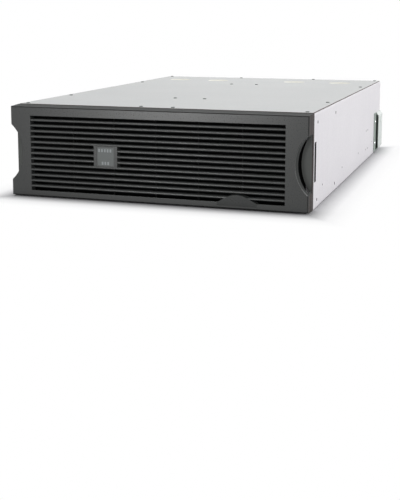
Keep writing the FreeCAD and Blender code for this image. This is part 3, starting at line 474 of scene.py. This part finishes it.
# cover: a dark brown cut edge, and a painted highlight in the pressed dishes
coverLook = {"pale": "#CBCCCC", "dark": "#B9BBBB", "streak": (14, 700, 700), "metallic": 0.25,
             "roughness": 0.7, "shine": 0.15,
             "cutEdgeAndShade": {"axis": "Z", "colour": "#4A3A34",
                         "level": {"z": (0.1287, 0.1301), "y": (-0.4, 0.4)}},
             "paintedPatches": [{"colour": "#EDECE4", "level": {"z": (0.1262, 0.12985), "y": (0.223, 0.267),
                                                         "x": (-0.19, 0.19)}}]}
# brackets: painted shade as a greyer green strip on the case and a near black inside of the channel,
# placed by their boxes
bracketLook = {"pale": "#D6DAD8", "dark": "#B4BBB8", "streak": (300, 300, 40), "strip": (-0.0005, 0.0245),
               "stripShadeColour": "#8D9891", "channelShadeColour": "#1D211F", "channelStart": 0.0247, "wall": 0.0011,
               "web": 0.0065, "past": (0.0002, 0.001)}


def bracketSheet(side, s):
    low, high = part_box(side + "_rear_bracket")
    seat, free = s["past"]
    x = (low.x - seat, high.x - s["wall"]) if side == "right" else (low.x + s["wall"], high.x + seat)
    channel = {"x": x, "y": (low.y + s["channelStart"], high.y + free),
               "z": drawnIn(low.z, high.z, s["web"])}
    # the strip and the inside of the channel are painted shade
    return zincSheet("chromated steel bracket " + side, s["pale"], s["dark"], s["streak"],
                     paintedPatches=[{"colour": s["stripShadeColour"], "level": {"y": spanFrom(low.y, s["strip"])}},
                              {"colour": s["channelShadeColour"], "level": channel}])


sheetSide = zincSheet("galvanised steel case", **caseLook)
sheetTop = zincSheet("galvanised steel cover", **coverLook)
sheetRear = zincSheet("galvanised steel rear panel", "#E0E7EA", "#C6CFD3", (260, 260, 90))
sheetClamp = zincSheet("bright zinc-plated plate", "#D0D7DA", "#B2BBBF", (300, 300, 60), metallic=0.6,
                       roughness=0.44)
sheetInner = zincSheet("galvanised inner steel", "#B4BABC", "#8E9698", (200, 30, 200))
charcoal = charcoalPlastic(bezelSet)
blackPaint = mouldedPlastic("matt black paint", "#0C0C0D", "#070708", 0.75, grainSize=0.0006, shine=0.08)
blackPlastic = mouldedPlastic("black moulded ABS", "#232325", "#18181A", 0.45)
grommetNylon = mouldedPlastic("black nylon", "#18181A", "#0E0E0F", 0.36, shine=0.25)
greyPlastic = mouldedPlastic("grey moulded nylon", "#7C7F82", "#696C6F", 0.45)
bluePlastic = mouldedPlastic("blue moulded polycarbonate", "#2890D4", "#2082C6", 0.42, edge=0.0007,
                             shine=0.3)
windowPlastic = windowPlate(windowSet)
brightSteel = platedMetal("bright zinc-plated steel", "#E4E6E8", "#C4C8CC", 0.26)
nutSteel = platedMetal("satin zinc-plated nut", "#EEF1F2", "#E2E6E8", 0.46, metallic=0.4)
dullSteel = platedMetal("dull zinc-plated steel", "#6A716D", "#474E4A", 0.5, metallic=0.2)
brass = platedMetal("brass strap", "#CDA95C", "#A9853F", 0.32)
silver = platedMetal("silver-plated copper", "#E8E4DC", "#CFC8BC", 0.22)
outlet = outletPlastic(outletSet)
redPvc = cableInsulation("red PVC insulation", "#E4102C", "#D60C26")
blackPvc = cableInsulation("black PVC insulation", "#1E1E20", "#161618")

finishes = {
    "base_pan": sheetSide, "top_cover": sheetTop, "rear_panel": sheetRear, "front_bezel": charcoal,
    "bezel_window_plate": windowPlastic, "battery_door": blackPaint, "door_screws": blackPaint,
    "wiring_channel": sheetInner, "rear_receptacle": outlet, "receptacle_contacts": silver,
    "plug_contacts": silver, "receptacle_clamp": sheetClamp, "clinch_nuts": nutSteel,
    "cover_screws": dullSteel, "clamp_screws": brightSteel, "bracket_rivets": brightSteel,
    "plug_housing": bluePlastic, "red_harness": redPvc, "red_cable": redPvc, "black_harness": blackPvc,
    "black_cable": blackPvc, "red_cable_grommet": grommetNylon, "black_cable_grommet": grommetNylon,
}
batteriesPerTray = 8
for side in ("left", "right"):
    finishes[side + "_rear_bracket"] = bracketSheet(side, bracketLook)
    finishes[side + "_stop_bar"] = sheetInner
    finishes[side + "_battery_tray"] = sheetInner
    finishes[side + "_battery_links"] = brass
    finishes[side + "_tray_connector"] = greyPlastic
    finishes[side + "_harness_connector"] = greyPlastic
    for number in range(1, batteriesPerTray + 1):
        finishes[side + "_battery_" + str(number)] = blackPlastic
for name, finish in finishes.items():
    nodes[name].data.materials.clear()
    nodes[name].data.materials.append(finish)
print("finishes on", len(finishes), "nodes")


# cables: one open spline each, with the CAD route's points as its control points
cableSet = {
    "diameter": 0.009,
    "redCable": {"node": "red_cable", "finish": redPvc, "slot": "red_rubber", "length": 0.2108,
                 "route": [(0.0129, 0.330, 0.1138), (0.0129, 0.368, 0.1138), (-0.002, 0.400, 0.091),
                           (-0.005, 0.412, 0.040), (0.019392, 0.433627, 0.0113),
                           (0.040392, 0.470, 0.0113)]},
    "blackCable": {"node": "black_cable", "finish": blackPvc, "slot": "black_rubber", "length": 0.2189,
                   "route": [(-0.0261, 0.330, 0.1138), (-0.0261, 0.369, 0.1138), (-0.038, 0.404, 0.089),
                             (-0.028, 0.425, 0.033), (0.002608, 0.452555, 0.0113),
                             (0.019608, 0.482, 0.0113)]},
}


def makeCable(name, s, diameter):
    line = bpy.data.curves.new(name, "CURVE")
    line.dimensions = "3D"
    line.bevel_depth = diameter / 2
    line.bevel_resolution = 8
    line.resolution_u = 24
    line.use_fill_caps = True
    spline = line.splines.new("NURBS")
    spline.points.add(len(s["route"]) - 1)
    points = np.column_stack([np.array(s["route"]), np.ones(len(s["route"]))])
    spline.points.foreach_set("co", points.ravel())
    spline.order_u = 3
    spline.use_endpoint_u = True
    line.materials.append(s["finish"])
    piece = bpy.data.objects.new(name, line)
    scene.collection.objects.link(piece)
    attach(piece, "root")
    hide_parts(s["node"])


for name in ("redCable", "blackCable"):
    makeCable(name, cableSet[name], cableSet["diameter"])
print("cables laid")


# quads of a grid of points that closes round its second index
def ringFaces(count, around):
    row, col = np.meshgrid(np.arange(count - 1), np.arange(around), indexing="ij")
    here = row * around + col
    beside = row * around + (col + 1) % around
    return np.stack([here, here + around, beside + around, beside], -1).reshape(-1, 4)


# smooth is one flag, or one for each face. A thickness closes a flat sheet, into what carries it.
def addPiece(name, points, faces, finish, smooth=True, thickness=None):
    mesh = bpy.data.meshes.new(name)
    mesh.from_pydata(points.tolist(), [], faces)
    mesh.polygons.foreach_set("use_smooth", np.full(len(faces), smooth))
    mesh.materials.append(finish)
    mesh.update()
    piece = bpy.data.objects.new(name, mesh)
    scene.collection.objects.link(piece)
    if thickness:
        wall = piece.modifiers.new("thickness", "SOLIDIFY")
        wall.thickness = thickness
        wall.offset = -1
    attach(piece, "root")
    return piece


# pan-head screws with a cross recess, standing on a sheet
screwSet = {
    "radius": 0.0027, "height": 0.0011, "crown": 0.3, "recess": 0.0008, "armWidth": 0.0005, "armSoft": 1.6,
    "armReach": 0.0017, "reachSoft": 0.0004, "innermost": 0.03, "rings": 14, "around": 32,
    "coverScrews": {"node": "cover_screws", "axis": "z", "level": 0.130, "finish": dullSteel,
                    "spots": [(x, y) for y in (-0.294, -0.153, 0.152)
                              for x in (-0.205, -0.030, 0.017, 0.205)]
                             + [(x, 0.320) for x in (-0.206, -0.059, 0.087, 0.206)]},
    "clampScrews": {"node": "clamp_screws", "axis": "y", "level": 0.3282, "finish": brightSteel,
                    "spots": [(-0.0368, 0.0885), (0.0228, 0.0885)]},
}


# height over the seat = crown falling with the fourth power of the radius, less a cross-shaped pit whose
# arms fade out sideways and at their ends, for radius and angle
def makeScrews(name, s, one):
    share = np.linspace(s["innermost"], 1, s["rings"])
    turn = np.linspace(0, 2 * np.pi, s["around"], endpoint=False)
    radius = (share * s["radius"])[:, None]
    across, up = radius * np.cos(turn), radius * np.sin(turn)
    dome = s["height"] * (1 - s["crown"] * share[:, None] ** 4)
    arm = np.clip(s["armSoft"] - np.minimum(np.abs(across), np.abs(up)) / s["armWidth"], 0, 1)
    reach = np.clip((s["armReach"] - radius) / s["reachSoft"], 0, 1)
    height = dome - s["recess"] * arm * reach
    head = np.stack([across, up, height], -1)
    foot = np.stack([across[-1], up[-1], np.zeros(s["around"])], -1)[None]
    head = np.concatenate([head, foot]).reshape(-1, 3)
    spots = np.array(one["spots"])
    grid = np.repeat(head[None], len(spots), 0)
    level = np.full(len(spots), one["level"])
    if one["axis"] == "z":
        points = grid + np.column_stack([spots, level])[:, None]
    else:
        points = np.stack([-grid[..., 0], grid[..., 2], grid[..., 1]], -1)
        points = points + np.stack([spots[:, 0], level, spots[:, 1]], -1)[:, None]
    first = np.arange(len(spots)) * len(head)
    sides = (ringFaces(s["rings"] + 1, s["around"])[None] + first[:, None, None]).reshape(-1, 4)
    middle = np.arange(s["around"]) + first[:, None]  # one face closes the innermost ring
    seat = middle[:, ::-1] + s["rings"] * s["around"]  # and one the ring on the sheet
    faces = sides.tolist() + middle.tolist() + seat.tolist()
    piece = addPiece(name, points.reshape(-1, 3), faces, one["finish"],
                     smooth=np.arange(len(faces)) < len(sides))
    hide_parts(one["node"])


for name in ("coverScrews", "clampScrews"):
    makeScrews(name, screwSet, screwSet[name])
print("screw heads made")


# small white sticker under the outlet with plain grey bars. Bands are shares of its height and width.
stickerSet = {"left": 0.0106, "right": -0.020, "low": 0.0583, "high": 0.0713, "face": 0.32712,
              "columns": 62, "rows": 26, "thickness": 0.00008, "paper": "#F1F0F2", "ink": "#6A6872",
              "fibre": 0.0008, "across": (0.1, 0.92), "waves": (97, 41), "shift": 1.3, "barLevel": 0.1,
              "barBands": [((0.62, 0.84), 1.0), ((0.26, 0.44), 0.8)],
              "lineBands": [((0.5, 0.55), 1.0), ((0.14, 0.19), 0.7)]}


# flat grid on the panel. Ink is 1 on thin lines, and on bands of bars where a sum of two sines is high.
def makeSticker(s):
    u, v = np.meshgrid(np.linspace(0, 1, s["columns"] + 1), np.linspace(0, 1, s["rows"] + 1), indexing="ij")
    x = s["left"] + (s["right"] - s["left"]) * u
    z = s["low"] + (s["high"] - s["low"]) * v
    points = np.stack([x, np.full_like(x, s["face"]), z], -1).reshape(-1, 3)
    row, col = np.meshgrid(np.arange(s["columns"]), np.arange(s["rows"]), indexing="ij")
    here = row * (s["rows"] + 1) + col
    faces = np.stack([here, here + s["rows"] + 1, here + s["rows"] + 2, here + 1], -1).reshape(-1, 4)
    uc, vc = (row + 0.5) / s["columns"], (col + 0.5) / s["rows"]
    bars = np.sin(uc * s["waves"][0]) + np.sin(uc * s["waves"][1] + s["shift"]) > s["barLevel"]
    wide, thin = (np.any([(vc > low) & (vc < high) & (uc < end) for (low, high), end in bands], axis=0)
                  for bands in (s["barBands"], s["lineBands"]))
    inked = (uc > s["across"][0]) & (uc < s["across"][1]) & ((wide & bars) | thin)
    paper, tree = newMaterial("white gummed paper")
    ink = addNode(tree, "ShaderNodeAttribute", attribute_name="ink")
    place = addNode(tree, "ShaderNodeTexCoord").outputs["Object"]
    fibre = addNode(tree, "ShaderNodeTexNoise", {"Vector": place, "Scale": 1 / s["fibre"]})
    colour = addNode(tree, "ShaderNodeMix", {"Factor": ink.outputs["Fac"], "A": hexColour(s["paper"]),
                                             "B": hexColour(s["ink"])}, data_type="RGBA")
    bump = addNode(tree, "ShaderNodeBump", {"Height": fibre.outputs["Fac"], "Strength": 0.05,
                                            "Distance": 0.0001})
    finishMaterial(tree, addNode(tree, "ShaderNodeBsdfPrincipled", {
        "Base Color": colour.outputs["Result"], "Roughness": 0.62, "Normal": bump.outputs[0]}))
    piece = addPiece("outletSticker", points, faces.tolist(), paper, smooth=False,
                     thickness=s["thickness"])
    layer = piece.data.attributes.new("ink", "FLOAT", "FACE")
    layer.data.foreach_set("value", inked.ravel().astype(np.float32))


makeSticker(stickerSet)
print("sticker made")


# plain pale dashes in two rows on the window plate
markSet = {"face": -0.32865, "filled": 0.6, "thickness": 0.00004, "shades": ("#9EA3A4", "#909596"),
           "rows": {"upper": {"z": (0.0689, 0.0732), "x": (-0.0802, -0.0590), "count": 5},
                    "lower": {"z": (0.0513, 0.0556), "x": (-0.0752, -0.0626), "count": 3}}}


# each row is cut into equal steps and every dash fills a share of its step
def makeMarks(s):
    quads = []
    for row in s["rows"].values():
        step = (row["x"][1] - row["x"][0]) / row["count"]
        left = row["x"][0] + step * np.arange(row["count"])
        right = left + step * s["filled"]
        x = np.stack([left, right, right, left], -1)
        low, high = row["z"]
        z = np.broadcast_to(np.array([low, low, high, high]), x.shape)
        quads.append(np.stack([x, np.full_like(x, s["face"]), z], -1).reshape(-1, 3))
    points = np.concatenate(quads)
    paint = mouldedPlastic("pale grey screen print", *s["shades"], 0.5, edge=0.0001, shine=0.3)
    addPiece("windowMarks", points, np.arange(len(points)).reshape(-1, 4).tolist(), paint,
             smooth=False, thickness=s["thickness"])


makeMarks(markSet)
print("window marks made")
